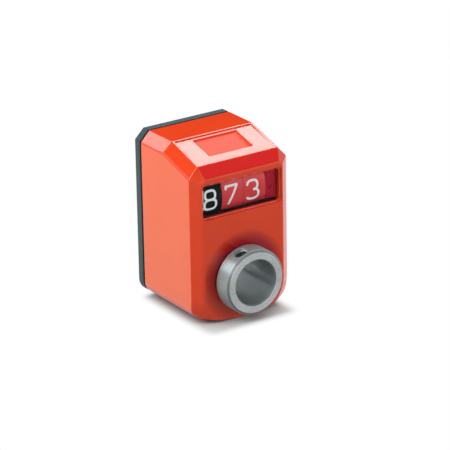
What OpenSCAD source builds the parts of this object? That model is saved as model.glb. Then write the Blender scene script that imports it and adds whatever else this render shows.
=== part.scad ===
// Mechanical position indicator with a hollow spindle and a three-wheel counter.
// Origin: on the spindle axis, in the plane of the rear face. The front looks along -Y, Z is up.
// Depths are measured from the rear face towards the front.

/* [Case] */
// Wall of the case
wall = 1.4; // [1:0.1:1.6]
// Room above the number wheels
roof_gap = 0.85; // [0.7:0.05:3]
// Room in front of the number wheels
front_gap = 0.6; // [0.4:0.05:2]
// Room behind the number wheels, down to the pocket in the base
rear_gap = 1.3; // [0.5:0.05:3]
// Room under the crown gear
floor_gap = 0.7; // [0.3:0.05:2]
// Mean thickness of the counter frame's cheeks
cheek_t = 1.325; // [1:0.025:2]
// Depth at which the top starts to slope down
ridge_d = 11.2; // [8:0.1:13]
// Drop of the top from the ridge to the front rim
slope_drop = 2.9; // [2:0.1:3.2]
// Depth of the chamfered front rim
rim_d = 1.7; // [1:0.1:2]
// Inset of the front rim at the sides
rim_side = 2.2; // [1:0.1:2.4]
// Inset of the front rim at the top
rim_top = 2.6; // [1:0.1:2.8]
// Rounding between the front rim and the front face
rim_soft = 0.5; // [0.2:0.1:0.8]
// Chamfer of the two long top edges
top_chamfer = 2.2; // [1:0.1:3]
// Width of the eased edge under each top chamfer
edge_ease = 0.6; // [0.2:0.05:0.7]
// Radius of the lower long edges
low_r = 3; // [2:0.1:4]
// Radius of the bowed underside
low_bow = 38; // [32:1:80]
// Lower corner radius of the front face
face_r = 7; // [5:0.1:7.5]

/* [Top panel] */
// Depth of the step below the ridge
panel_step = 0.3; // [0.1:0.05:0.5]
// Length over which the stepped panel runs out
panel_run = 7.7; // [5:0.1:9]
// Distance of the panel from the side edges of the slope
panel_margin = 0.5; // [0.2:0.1:2]
// Width of the bare name field
field_w = 11; // [6:0.1:14]
// Length of the bare name field along the slope
field_l = 6.5; // [3:0.1:7]
// Distance of the name field from the ridge
field_start = 1; // [0.6:0.1:2]
// Depth of the name field
field_depth = 0.35; // [0.1:0.05:0.6]

/* [Window] */
// Distance from the opening to the front rim at each side
window_margin = 0.6; // [0.5:0.05:3]
// Height of the window opening
window_h = 7; // [5:0.1:8]
// Height of the window centre above the counter axis
window_rise = 0.45; // [0:0.05:1]
// Overlap of the pane's flange round the opening
pane_lip = 0.4; // [0.2:0.05:0.45]
// Thickness of the pane's flange
pane_flange = 0.6; // [0.4:0.05:0.8]
// Corner radius of the opening
window_r = 0.4; // [0.2:0.05:1]

/* [Rear base] */
// Thickness of the base
base_t = 2.4; // [2:0.1:4]
// Width of the groove between the base and the case
groove_w = 0.5; // [0.2:0.05:0.8]
// Depth of that groove
groove_d = 0.6; // [0.2:0.05:0.8]
// Depth of the base's spigot inside the case
spigot_d = 1.5; // [0.8:0.1:1.6]
// Wall of the spigot
spigot_wall = 0.8; // [0.6:0.1:0.9]
// Thickness left behind the number wheels
pocket_floor = 1.3; // [0.8:0.1:1.6]
// Diameter of the rear locating peg
peg_dia = 4; // [3:0.1:6]
// Length of the rear locating peg
peg_len = 4; // [2:0.1:8]
// Height of the peg above the spindle axis
peg_rise = 15; // [12:0.1:20]
// Width of the rear gasket
gasket_w = 1.2; // [0.8:0.1:1.3]
// Depth of the gasket groove
gasket_t = 0.8; // [0.4:0.05:1]

/* [Spindle] */
// Bore for the machine's spindle
bore_dia = 10; // [8:0.1:10.2]
// Wall of the bush inside the case
tube_wall = 1; // [0.8:0.05:1.1]
// Diameter of the collar in front of the case
collar_dia = 14.6; // [14:0.1:15]
// Length of the bush in front of the case
collar_out = 4.5; // [4:0.1:8]
// Gap between the collar and the case
collar_gap = 0.3; // [0.2:0.05:0.6]
// Outer chamfer of the collar
collar_chamfer = 0.6; // [0.2:0.05:1]
// Chamfer of the bore's front mouth
mouth_chamfer = 0.3; // [0.1:0.05:0.6]
// Diameter of the set screw
screw_dia = 3; // [2:0.1:3.4]
// Length of the set screw
screw_len = 1.2; // [1:0.1:1.8]
// Width across flats of the screw's socket
screw_socket = 1.5; // [0.8:0.1:1.6]
// Angle of the set screw from the top, to the left in front view
screw_angle = 20; // [0:1:45]

/* [Counter] */
// Sideways offset of the counter in the case
counter_shift = -0.5; // [-0.5:0.05:0.2]
// Diameter of the number wheels
wheel_dia = 17.8; // [17:0.1:18]
// Distance from wheel to wheel
wheel_pitch = 5.6; // [5.4:0.05:5.7]
// Gap between two wheels
wheel_gap = 0.1; // [0.05:0.01:0.2]
// Wall of the wheel rims
rim_wall = 1.2; // [0.8:0.05:1.3]
// Height of the counter axle above the spindle axis
counter_h = 18.25; // [18:0.05:18.5]
// Diameter of the counter axle
axle_dia = 2.5; // [2:0.1:2.8]
// Depth of the flat on the axle
axle_flat = 0.3; // [0.15:0.05:0.5]

/* [Hidden] */
$fn = 64;
eps = 0.01;
overrun = 1;
run_clear = 0.05;
side_clear = 0.1;
bar_clear = 0.6;

// Spindle
bore_r = bore_dia / 2;
tube_r = bore_r + tube_wall;
crown_w = 1;
crown_out = tube_r + crown_w;

// Stack of the counter across the width, from the left cheek to the right one
wheel_count = 3;
left_play = 0.35;
gear_play = 0.25;
gear_w = 1.2;
right_play = 0.55;
stack_w = left_play + wheel_count * wheel_pitch + gear_play + gear_w + right_play;

// The outer size follows from the counter and the spindle that the case holds
wheel_r = wheel_dia / 2;
case_w = stack_w + 2 * (cheek_t + side_clear + wall);
half_w = case_w / 2;
wheel_end = half_w - wall - side_clear - cheek_t - right_play - gear_w - gear_play + counter_shift;
counter_d = pocket_floor + rear_gap + wheel_r;
case_d = counter_d + wheel_r + front_gap + wall;
top_h = counter_h + wheel_r + roof_gap + wall;
axis_h = crown_out + floor_gap + wall;

// Case outline, outside and inside
front_top = top_h - slope_drop;
rim_start = case_d - rim_d;
slope_angle = atan2(slope_drop, rim_start - ridge_d);
in_half = half_w - wall;
in_front = case_d - wall;
corner_share = 0.586;
rim_shift = 0.4;
soft_steps = 4;
in_least = 0.3;
in_chamfer = max(in_least, top_chamfer - corner_share * wall);
in_low_r = max(in_least, low_r - wall);
in_soft = wall / 4;

// Underside and lower front corners as [x, z]: middle of the bow, axis of the rim round a corner
seam_over = 0.02;
bow_c = [0, low_bow - axis_h];
face_c = [half_w - rim_side - face_r + seam_over, -axis_h + face_r - rim_soft];

// Bush, seal and retaining ring
collar_r = collar_dia / 2;
bush_end = case_d + collar_out;
window_w = 2 * (half_w - rim_side - window_margin);
seal_t = 1;
seal_w = 1;
seal_seat = 1.2;
boss_r = tube_r + seal_w + seal_seat;
seal_cover = 0.7;
boss_d = 2 * seal_t + seal_cover;
boss_back = in_front - boss_d;
ring_t = 0.6;
ring_w = 1;
ring_groove = 0.35;
ring_split = 1.6;
ring_front = boss_back - side_clear;
screw_d = case_d + collar_gap + (collar_out - collar_gap) / 2;
screw_recess = 0.15;
screw_tip_r = bore_r + screw_recess;
gasket_inset = 0.7;
gasket_in = tube_r + gasket_inset;

// Gears: involute teeth with a steep pressure angle and short tips
press = 25;
tip_share = 0.75;
root_share = 1;
flank_steps = 4;
backlash = 0.12;

// Crown gear and the pinion that it drives
crown_teeth = 20;
crown_r = tube_r + crown_w / 2;
crown_m = 2 * crown_r / crown_teeth;
pinion_teeth = 8;
pinion_r = crown_m * pinion_teeth / 2;
crown_pitch_d = counter_d - pinion_r;
crown_root_d = crown_pitch_d - crown_m;
crown_tip_d = crown_pitch_d + tip_share * crown_m;
crown_body = 2.4;
crown_back = crown_root_d - crown_body;
crown_backlash = 0.25;

// Spur train from the cluster up to the units wheel, folded a little to fit the height
first_teeth = 10;
idler_teeth = 20;
units_teeth = 25;
train_fold = 1.0274;
train_m = train_fold * counter_h / (first_teeth / 2 + idler_teeth + units_teeth / 2);
first_r = train_m * first_teeth / 2;
idler_r = train_m * idler_teeth / 2;
units_r = train_m * units_teeth / 2;
reach_a = first_r + idler_r;
reach_b = idler_r + units_r;
idler_z = (reach_a * reach_a - reach_b * reach_b + counter_h * counter_h) / (2 * counter_h);
idler_out = sqrt(reach_a * reach_a - idler_z * idler_z);

// Gear centres as [y, z]
counter_c = [-counter_d, counter_h];
cluster_c = [-counter_d, 0];
idler_c = [-counter_d - idler_out, idler_z];

// Stations across the width
gear_x0 = max(wheel_end, crown_out) + gear_play;
gear_x1 = gear_x0 + gear_w;
pinion_gap = 0.2;
pinion_x0 = tube_r + pinion_gap;
cheek_x0 = gear_x1 + right_play;
cheek_x1 = in_half - side_clear;
left_x0 = -cheek_x1;
left_x1 = wheel_end - wheel_count * wheel_pitch - left_play;

// Counter wheels
wheel_w = wheel_pitch - wheel_gap;
rim_r = wheel_r - rim_wall;
axle_r = axle_dia / 2;
hub_wall = 0.85;
hub_r = axle_r + hub_wall;
hub_inset = 0.3;
carry_w = 1.1;
plate_x = 1.35;
plate_t = 0.5;
web_x = 2.1;
web_t = 0.9;
tooth_x = 3.5;
tooth_w = wheel_w - tooth_x;
ring_teeth = 20;
carry_teeth = 6;
carry_m = 2 * rim_r / (ring_teeth + 4);
carry_r = carry_m * carry_teeth / 2;
carry_off = carry_m * (ring_teeth - carry_teeth) / 2;
lock_r = carry_m * ring_teeth / 2;
carry_c = counter_c + [carry_off, 0];
carry_gap = 0.3;
pinion_end = wheel_w - pinion_gap;
step_tooth_w = 0.6 * carry_m;
step_gap_w = 0.9 * carry_m;
step_gap_depth = 0.8 * carry_m;
sleeve_r = carry_r - root_share * carry_m;
units_x = wheel_end - wheel_w;
tens_x = units_x - wheel_pitch;
hundreds_x = tens_x - wheel_pitch;

// Pins
pin_r = 0.7;
pin_head_r = 1.2;
pin_head_t = 0.25;
pin_hub = 0.5;
pin_hub_out = 0.3;
carry_pin_r = 0.45;
carry_head_r = 0.8;
arm_wall = 0.7;
arm_r = carry_pin_r + arm_wall;
clip_t = 0.3;
clip_w = 0.8;
clip_split = 1;
clip_r = axle_r + clip_w;
clip_groove = 0.25;

// Colours
orange = [0.92, 0.32, 0.16];
slate = [0.24, 0.31, 0.33];
steel = [0.72, 0.73, 0.74];
red = [0.73, 0.22, 0.24];
black = [0.05, 0.11, 0.1];
ivory = [0.9, 0.88, 0.8];
rubber = [0.12, 0.12, 0.13];

function inv_deg(a) = tan(a) * 180 / PI - a;

// Half angle of a tooth at radius r, with its flank an involute from base radius rb
function half_angle(r, rb, at_base) = at_base - (r > rb ? inv_deg(acos(rb / r)) : 0);

// Outline of a gear with n teeth of module m, thinned at the pitch circle
function gear_outline(n, m, tip, root, thin, phase = 0) =
  let (
    rp = n * m / 2,
    rb = rp * cos(press),
    at_base = 90 / n - thin / (2 * rp) * 180 / PI + inv_deg(press),
    r0 = max(rp - root, rb),
    flank = [for (i = [0:flank_steps]) r0 + (rp + tip - r0) * i / flank_steps],
    radii = rp - root < rb - eps ? concat([rp - root], flank) : flank,
    last = len(radii) - 1
  )
  [
    for (k = [0:n - 1])
      for (i = [0:2 * last + 1])
        let (
          r = radii[i <= last ? i : 2 * last + 1 - i],
          side = i <= last ? -1 : 1,
          a = phase + 360 * k / n + side * half_angle(r, rb, at_base)
        )
        r * [cos(a), sin(a)]
  ];

// Phase of gear 2 that meshes with gear 1, whose tooth stands at phase 1
function mesh_phase(c1, n1, phase1, c2, n2) =
  let (to = atan2(c2[1] - c1[1], c2[0] - c1[0]))
  to + 180 - (phase1 - to) * n1 / n2 + 180 / n2;

first_phase = 0;
idler_phase = mesh_phase(cluster_c, first_teeth, first_phase, idler_c, idler_teeth);
units_phase = mesh_phase(idler_c, idler_teeth, idler_phase, counter_c, units_teeth);

// Turns a drawing in the [y, z] plane so that its height runs along +X
module along_x(x, c = [0, 0]) {
  translate([x, c[0], c[1]]) rotate([90, 0, 90]) children();
}

// Turns a drawing in the [x, z] plane so that its height runs towards the front
module to_front(d) {
  translate([0, -d, 0]) rotate([90, 0, 0]) children();
}

module rod_x(x0, x1, r, c) {
  along_x(x0, c) cylinder(r = r, h = x1 - x0);
}

module rod_front(d0, d1, r) {
  to_front(d0) cylinder(r = r, h = d1 - d0);
}

module tube_front(d0, d1, r_in, r_out) {
  difference() {
    rod_front(d0, d1, r_out);
    rod_front(d0 - eps, d1 + eps, r_in);
  }
}

module box(x, d, z) {
  translate([x[0], -d[1], z[0]]) cube([x[1] - x[0], d[1] - d[0], z[1] - z[0]]);
}

// Points across the top as [x, z], from the left side to the right: a chamfer at each side, eased below
function top_line(hw, top, chamfer, ease) =
  let (
    run = ease / (2 * cos(45 / 2)),
    k = run * cos(45),
    z = top - chamfer,
    edge = concat(ease > 0 ? [[hw, z - run], [hw - k, z + k]] : [[hw, z]], [[hw - chamfer, top]])
  )
  concat([for (p = edge) [-p[0], p[1]]], [for (i = [len(edge) - 1:-1:0]) edge[i]]);

// Case outline in the [x, z] plane: chamfered top edges, round lower edges and a bowed underside
module outline(hw, top, low, chamfer, r, ease = 0) {
  bow = low_bow - axis_h - low;
  c = [hw - r, bow_c[1] - sqrt(pow(bow - r, 2) - pow(hw - r, 2)) - seam_over];
  tip = bow_c + (c - bow_c) * (bow + overrun) / norm(c - bow_c);
  intersection() {
    translate(bow_c) circle(bow);
    union() {
      polygon(concat(
        [[-hw, c[1]]], top_line(hw, top, chamfer, ease), [[hw, c[1]]],
        [c, tip, [tip[0], low - overrun]],
        [[-tip[0], low - overrun], [-tip[0], tip[1]], [-c[0], c[1]]]
      ));
      for (s = [-1, 1]) translate([s * c[0], c[1]]) circle(r);
    }
  }
}

// Points of a rounded corner at b between the directions of a and c, starting at distance s
function soft_corner(a, b, c, s) =
  let (p = b + s * (a - b) / norm(a - b), q = b + s * (c - b) / norm(c - b))
  [for (i = [0:soft_steps]) let (k = i / soft_steps) (1 - k) ^ 2 * p + 2 * k * (1 - k) * b + k ^ 2 * q];

// Side profile as [y, z]: flat top, slope, chamfered rim and flat front
module side_profile(t, back, soft) {
  low = -axis_h + t - overrun;
  rim = rim_start - t * rim_shift;
  slope_end = [-rim, front_top - t];
  rim_end = [-case_d + t, front_top - t - rim_top];
  polygon(concat(
    [[-back, low], [-back, top_h - t], [-ridge_d, top_h - t], slope_end],
    soft_corner(slope_end, rim_end, [-case_d + t, low], soft),
    [[-case_d + t, low]]
  ));
}

// Rounded corner between the rim and the front face, as [distance, y], with the face ending at the edge
function rim_corner(edge, t, soft) =
  let (front = -case_d + t, rise = rim_d - t * (1 - rim_shift))
  soft_corner([edge + rim_side, front + rise], [edge, front], [0, front], soft);

// Plan as [x, y] with the chamfered rim at both sides
module plan(t, back, soft) {
  hw = half_w - t;
  rim = rim_start - t * rim_shift;
  right = rim_corner(hw - rim_side, t, soft);
  left = [for (i = [len(right) - 1:-1:0]) [-right[i][0], right[i][1]]];
  polygon(concat([[-hw, -back], [hw, -back], [hw, -rim]], right, left, [[-hw, -rim]]));
}

// Rim plane across an upper front corner, drawn as [distance from the axis at 45 degrees, y]
module corner_rim(t, soft) {
  rim = rim_start - t * rim_shift;
  u = (half_w - t + front_top - t - top_chamfer) / sqrt(2);
  inset = (rim_side + rim_top) / 2;
  flare = 6;
  start = [u + flare * inset, -rim + flare * rim_d];
  end = [u - inset, -case_d + t];
  polygon(concat(
    [[-2 * top_h, case_d], [u + flare * inset, case_d], start],
    soft_corner(start, end, [0, -case_d + t], soft),
    [[-2 * top_h, -case_d + t]]
  ));
}

// Body with the rim's section, turned about the axis of a lower corner
module turned_rim(t, soft) {
  flare = 2;
  edge = face_r - t;
  front = -case_d + t;
  wide = edge + flare * rim_side;
  translate([face_c[0], 0, face_c[1]]) rotate([-90, 0, 0]) rotate_extrude() polygon(concat(
    [[0, case_d], [wide, case_d], [wide, front + flare * (rim_d - t * (1 - rim_shift))]],
    rim_corner(edge, t, soft),
    [[edge - soft, front - overrun], [0, front - overrun]]
  ));
}

// Block without its lower corners, where the rim turns from the sides to the underside instead
module low_corners(t, soft) {
  side_in = 1;
  top_over = 0.2;
  far = 2 * top_h;
  beyond = far + overrun;
  difference() {
    box([-far, far], [-far, far], [-far, far]);
    for_each_side()
      box([face_c[0] + side_in, beyond], [-beyond, beyond], [-beyond, face_c[1] + top_over]);
  }
  for_each_side() turned_rim(t, soft);
}

module for_each_side() {
  children();
  mirror([1, 0, 0]) children();
}

// Convex body of the case, pulled in by t on every side; only the outside has eased edges
module case_body(t, back, chamfer, r, soft) {
  ease = t > 0 ? 0 : edge_ease;
  hw = half_w - t;
  top = top_h - t;
  low = -axis_h + t;
  intersection() {
    along_x(-case_w) linear_extrude(2 * case_w) side_profile(t, back, soft);
    to_front(0) linear_extrude(2 * case_d) outline(hw, top, low, chamfer, r, ease);
    translate([0, 0, -2 * axis_h]) linear_extrude(2 * (top_h + axis_h)) plan(t, back, soft);
    on_slope() translate([0, 2 * case_d, -t]) rotate([90, 0, 0]) linear_extrude(4 * case_d)
      polygon(concat([[-hw, -3 * top_h]], top_line(hw, 0, chamfer, ease), [[hw, -3 * top_h]]));
    for_both_sides() rotate([0, -45, 0]) linear_extrude(6 * top_h, center = true) corner_rim(t, soft);
    low_corners(t, soft);
  }
}

module for_both_sides() {
  intersection() {
    children();
    mirror([1, 0, 0]) children();
  }
}

// Places a drawing on the sloped top: x to the right, y down the slope, z outwards
module on_slope() {
  translate([0, -ridge_d, top_h]) rotate([slope_angle, 0, 0]) mirror([0, 1, 0]) children();
}

module rounded_rect(w, h, r) {
  square([w - 2 * r, h], center = true);
  square([w, h - 2 * r], center = true);
  for (sx = [-1, 1], sy = [-1, 1]) translate([sx * (w / 2 - r), sy * (h / 2 - r)]) circle(r);
}

module window_block(d0, d1, lip) {
  translate([0, 0, counter_h + window_rise]) to_front(d0) linear_extrude(d1 - d0)
    rounded_rect(window_w + 2 * lip, window_h + 2 * lip, window_r + lip);
}

module front_case() {
  panel_w = case_w - 2 * top_chamfer - 2 * panel_margin;
  panel_start = 0.3;
  panel_tilt = atan(panel_step / panel_run);
  color(orange) difference() {
    union() {
      difference() {
        case_body(0, base_t, top_chamfer, low_r, rim_soft);
        case_body(wall, base_t - overrun, in_chamfer, in_low_r, in_soft);
      }
      rod_front(boss_back, in_front + eps, boss_r);
    }
    rod_front(boss_back - eps, case_d + eps, tube_r + run_clear);
    rod_front(boss_back + seal_t, boss_back + 2 * seal_t, tube_r + seal_w);
    window_block(in_front - wall, case_d + eps, 0);
    window_block(case_d - pane_flange, case_d + eps, pane_lip);
    on_slope() translate([-panel_w / 2, panel_start, -panel_step]) rotate([panel_tilt, 0, 0])
      cube([panel_w, panel_run + overrun, overrun]);
    on_slope() translate([-field_w / 2, field_start, -field_depth - panel_step])
      cube([field_w, field_l, overrun]);
  }
}

module window_pane() {
  color([0.9, 0.95, 0.95, 0.35]) {
    window_block(case_d - pane_flange, case_d, pane_lip);
    window_block(in_front, case_d - pane_flange + eps, 0);
  }
}

module rear_base() {
  pocket_side = 0.4;
  pocket_share = 0.9;
  pocket_half = wheel_r * pocket_share;
  pocket_x = [hundreds_x - pocket_side, wheel_end + pocket_side];
  pocket_z = [counter_h - pocket_half, counter_h + pocket_half];
  spigot_half = in_half - run_clear;
  hole_half = spigot_half - spigot_wall;
  spigot_top = top_h - wall - run_clear;
  spigot_low = -axis_h + wall + run_clear;
  neck_chamfer = top_chamfer - corner_share * groove_d;
  neck_r = low_r - groove_d;
  color(slate) difference() {
    union() {
      to_front(0) linear_extrude(base_t - groove_w) outline(half_w, top_h, -axis_h, top_chamfer, low_r);
      to_front(eps) linear_extrude(base_t - eps)
        outline(half_w - groove_d, top_h - groove_d, -axis_h + groove_d, neck_chamfer, neck_r);
      difference() {
        to_front(base_t - eps) linear_extrude(spigot_d + eps)
          outline(spigot_half, spigot_top, spigot_low, in_chamfer, in_low_r);
        to_front(base_t) linear_extrude(spigot_d + eps)
          outline(hole_half, spigot_top - spigot_wall, spigot_low + spigot_wall, in_chamfer, in_low_r);
      }
      translate([0, 0, peg_rise]) rod_front(-peg_len, eps, peg_dia / 2);
    }
    rod_front(-eps, base_t + spigot_d, tube_r + run_clear);
    tube_front(-eps, gasket_t, gasket_in, gasket_in + gasket_w);
    box(pocket_x, [pocket_floor, base_t + eps], pocket_z);
  }
}

module rear_gasket() {
  color(rubber) tube_front(0, gasket_t, gasket_in, gasket_in + gasket_w);
}

module front_seal() {
  seal_back = boss_back + seal_t;
  color(rubber) tube_front(seal_back, seal_back + seal_t, tube_r + run_clear / 2, tube_r + seal_w);
}

module drive_bush() {
  color(steel) difference() {
    union() {
      rod_front(0, bush_end, tube_r);
      rod_front(case_d + collar_gap, bush_end - collar_chamfer, collar_r);
      to_front(bush_end - collar_chamfer)
        cylinder(r1 = collar_r, r2 = collar_r - collar_chamfer, h = collar_chamfer);
    }
    rod_front(-eps, bush_end + eps, bore_r);
    to_front(bush_end - mouth_chamfer)
      cylinder(r1 = bore_r, r2 = bore_r + mouth_chamfer + eps, h = mouth_chamfer + eps);
    tube_front(ring_front - ring_t, ring_front, tube_r - ring_groove, tube_r + ring_w);
    set_screw_frame() translate([0, 0, bore_r - overrun]) cylinder(d = screw_dia, h = collar_r);
  }
}

// Frame of the set screw: z runs outwards along its hole
module set_screw_frame() {
  translate([0, -screw_d, 0]) rotate([0, -screw_angle, 0]) children();
}

module grub_screw() {
  color(steel) set_screw_frame() translate([0, 0, screw_tip_r]) difference() {
    cylinder(d = screw_dia, h = screw_len);
    translate([0, 0, screw_len / 2]) cylinder(d = screw_socket / cos(30), h = overrun, $fn = 6);
  }
}

module retaining_ring() {
  split_d = [ring_front - ring_t - eps, ring_front + eps];
  color(steel) difference() {
    tube_front(ring_front - ring_t, ring_front, tube_r - ring_groove, tube_r + ring_w);
    box([-ring_split / 2, ring_split / 2], split_d, [-tube_r - 2 * ring_w, 0]);
  }
}

// Crown gear: rack teeth set round the bush, facing the front
module crown_gear() {
  sunk = 0.2;
  foot = PI * crown_m / 4 - crown_backlash / 2;
  wide = foot + tan(press) * crown_m;
  narrow = foot - tan(press) * tip_share * crown_m;
  root = -crown_root_d + eps;
  color(ivory) difference() {
    union() {
      tube_front(crown_back, crown_root_d, tube_r, crown_out);
      for (k = [0:crown_teeth - 1]) rotate([0, (k + 0.5) * 360 / crown_teeth, 0])
        along_x(tube_r - sunk) linear_extrude(crown_w + sunk)
          polygon([[root, wide], [-crown_tip_d, narrow], [-crown_tip_d, -narrow], [root, -wide]]);
    }
    rod_front(crown_back - eps, crown_tip_d + eps, tube_r);
    tube_front(crown_root_d, crown_tip_d + overrun, crown_out, crown_out + crown_w);
  }
}

module spur(x, w, c, n, m, thin, phase) {
  along_x(x, c) linear_extrude(w) polygon(gear_outline(n, m, tip_share * m, root_share * m, thin, phase));
}

module cluster_gear() {
  color(ivory) difference() {
    union() {
      spur(pinion_x0, gear_x0 - pinion_x0 - side_clear, cluster_c, pinion_teeth, crown_m, backlash, 0);
      spur(gear_x0, gear_w, cluster_c, first_teeth, train_m, backlash, first_phase);
      rod_x(gear_x0 - 2 * side_clear, gear_x1 + pin_hub_out, pin_r + pin_hub, cluster_c);
    }
    rod_x(pinion_x0 - eps, gear_x1 + overrun, pin_r + run_clear, cluster_c);
    rod_x(pinion_x0 - eps, pinion_x0 + pin_head_t + side_clear, pin_head_r + side_clear, cluster_c);
  }
}

module headed_pin(x0, x1, r, head_r, head_t, c) {
  color(steel) {
    rod_x(x0, x1, r, c);
    rod_x(x0, x0 + head_t, head_r, c);
  }
}

module cluster_pin() {
  headed_pin(pinion_x0, cheek_x1, pin_r, pin_head_r, pin_head_t, cluster_c);
}

module idler_gear() {
  holes = 5;
  hole_r = 0.18 * idler_r;
  hole_ring_r = 0.55 * idler_r;
  color(ivory) difference() {
    union() {
      spur(gear_x0, gear_w, idler_c, idler_teeth, train_m, backlash, idler_phase);
      rod_x(gear_x0, gear_x1 + pin_hub_out, pin_r + pin_hub, idler_c);
    }
    rod_x(gear_x0 - eps, gear_x1 + overrun, pin_r + run_clear, idler_c);
    rod_x(gear_x0 - eps, gear_x0 + pin_head_t + side_clear, pin_head_r + side_clear, idler_c);
    for (k = [0:holes - 1]) rotate_about(idler_c, 360 * k / holes)
      rod_x(gear_x0 - eps, gear_x1 + eps, hole_r, idler_c + [hole_ring_r, 0]);
  }
}

// Turns about an axis along X through c
module rotate_about(c, a) {
  translate([0, c[0], c[1]]) rotate([a, 0, 0]) translate([0, -c[0], -c[1]]) children();
}

module idler_pin() {
  headed_pin(gear_x0, cheek_x1, pin_r, pin_head_r, pin_head_t, idler_c);
}

module wheel_shell(x) {
  difference() {
    rod_x(x, x + wheel_w, wheel_r, counter_c);
    rod_x(x - eps, x + web_x, rim_r, counter_c);
    rod_x(x + web_x + web_t, x + wheel_w + eps, rim_r, counter_c);
  }
}

// Inner ring of teeth on the right side, driven by the carry pinion
module ring_gear(x) {
  along_x(x + tooth_x, counter_c) difference() {
    cylinder(r = rim_r + rim_wall / 2, h = tooth_w);
    translate([0, 0, -eps]) linear_extrude(tooth_w + 2 * eps)
      polygon(gear_outline(ring_teeth, carry_m, root_share * carry_m, tip_share * carry_m, -backlash));
  }
}

// Carry ring on the left side: a plain locking ring with two teeth that step the pinion
module carry_ring(x) {
  step = 360 / ring_teeth;
  along_x(x, counter_c) difference() {
    cylinder(r = rim_r + rim_wall / 2, h = carry_w);
    translate([0, 0, -eps]) linear_extrude(carry_w + 2 * eps) difference() {
      circle(r = lock_r);
      for (s = [-0.5, 0.5]) rotate(180 + s * step) translate([lock_r - step_tooth_w, -step_tooth_w / 2])
        square([carry_m, step_tooth_w]);
    }
    for (s = [-1, 0, 1]) rotate(180 + s * step) translate([lock_r - rim_wall / 4, -step_gap_w / 2, -eps])
      cube([rim_wall / 4 + step_gap_depth, step_gap_w, carry_w + 2 * eps]);
  }
}

module axle_bore(x0, x1) {
  rod_x(x0, x1, axle_r + run_clear, counter_c);
}

module units_wheel() {
  color(red) difference() {
    union() {
      wheel_shell(units_x);
      carry_ring(units_x);
      rod_x(units_x + web_x, gear_x1, hub_r, counter_c);
    }
    axle_bore(units_x, gear_x1 + eps);
  }
}

module units_drive_gear() {
  color(ivory) difference() {
    spur(gear_x0, gear_w, counter_c, units_teeth, train_m, backlash, units_phase);
    rod_x(gear_x0 - eps, gear_x1 + eps, hub_r, counter_c);
  }
}

module tens_wheel() {
  color(red) difference() {
    union() {
      wheel_shell(tens_x);
      carry_ring(tens_x);
      ring_gear(tens_x);
      rod_x(tens_x + web_x, tens_x + tooth_x, hub_r, counter_c);
    }
    axle_bore(tens_x, units_x);
  }
}

module hundreds_wheel() {
  color(black) difference() {
    union() {
      wheel_shell(hundreds_x);
      ring_gear(hundreds_x);
      rod_x(hundreds_x + hub_inset, hundreds_x + tooth_x, hub_r, counter_c);
    }
    axle_bore(hundreds_x, tens_x);
  }
}

// Carry pinion in the right side of the wheel at x, on a sleeve that reaches to its carrier
module carry_pinion(x) {
  teeth_x = x + tooth_x + carry_gap;
  teeth_w = pinion_end - tooth_x - carry_gap;
  sleeve_end = x + wheel_pitch + plate_x - side_clear;
  color(ivory) difference() {
    union() {
      spur(teeth_x, teeth_w, carry_c, carry_teeth, carry_m, backlash, 0);
      rod_x(x + pinion_end - eps, sleeve_end, sleeve_r, carry_c);
    }
    rod_x(x + tooth_x, sleeve_end + eps, carry_pin_r + run_clear, carry_c);
  }
}

module tens_carry_pinion() {
  carry_pinion(tens_x);
}

module hundreds_carry_pinion() {
  carry_pinion(hundreds_x);
}

module carry_pin(x) {
  head_x = x + tooth_x + carry_gap - side_clear - pin_head_t;
  headed_pin(head_x, x + wheel_pitch + plate_x + plate_t, carry_pin_r, carry_head_r, pin_head_t, carry_c);
}

module tens_pinion_pin() {
  carry_pin(tens_x);
}

module hundreds_pinion_pin() {
  carry_pin(hundreds_x);
}

// Plate keyed on the flat of the axle, with an arm to the carry pinion's pin
module carrier(x) {
  color(steel) along_x(x + plate_x, counter_c) difference() {
    union() {
      cylinder(r = hub_r, h = plate_t);
      translate([carry_off, 0, 0]) cylinder(r = arm_r, h = plate_t);
      translate([0, -arm_r, 0]) cube([carry_off, 2 * arm_r, plate_t]);
    }
    translate([0, 0, -eps]) axle_section(plate_t + 2 * eps);
    translate([carry_off, 0, -eps]) cylinder(r = carry_pin_r, h = plate_t + 2 * eps);
  }
}

// Round axle with one flat on its lower side
module axle_section(h) {
  difference() {
    cylinder(r = axle_r, h = h);
    translate([-axle_r, -axle_r - overrun, -eps]) cube([2 * axle_r, overrun + axle_flat, h + 2 * eps]);
  }
}

module tens_carrier() {
  carrier(units_x);
}

module hundreds_carrier() {
  carrier(tens_x);
}

module counter_axle() {
  color(steel) difference() {
    along_x(left_x0, counter_c) axle_section(cheek_x1 - left_x0);
    for (x = [left_x1, cheek_x0 - clip_t]) clip_ring(x, axle_r - clip_groove, clip_r);
  }
}

module clip_ring(x, r_in, r_out) {
  along_x(x, counter_c) difference() {
    cylinder(r = r_out, h = clip_t);
    translate([0, 0, -eps]) cylinder(r = r_in, h = clip_t + 2 * eps);
  }
}

module axle_clips() {
  color(steel) for (x = [left_x1, cheek_x0 - clip_t]) difference() {
    clip_ring(x, axle_r - clip_groove, clip_r);
    along_x(x - eps, counter_c) translate([0, -clip_split / 2, 0])
      cube([clip_r + overrun, clip_split, clip_t + 2 * eps]);
  }
}

// Depth to which a bar at height z stays clear of the number wheels
function clear_depth(z) = counter_d - sqrt(pow(wheel_r + bar_clear, 2) - pow(counter_h - z, 2));

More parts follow.
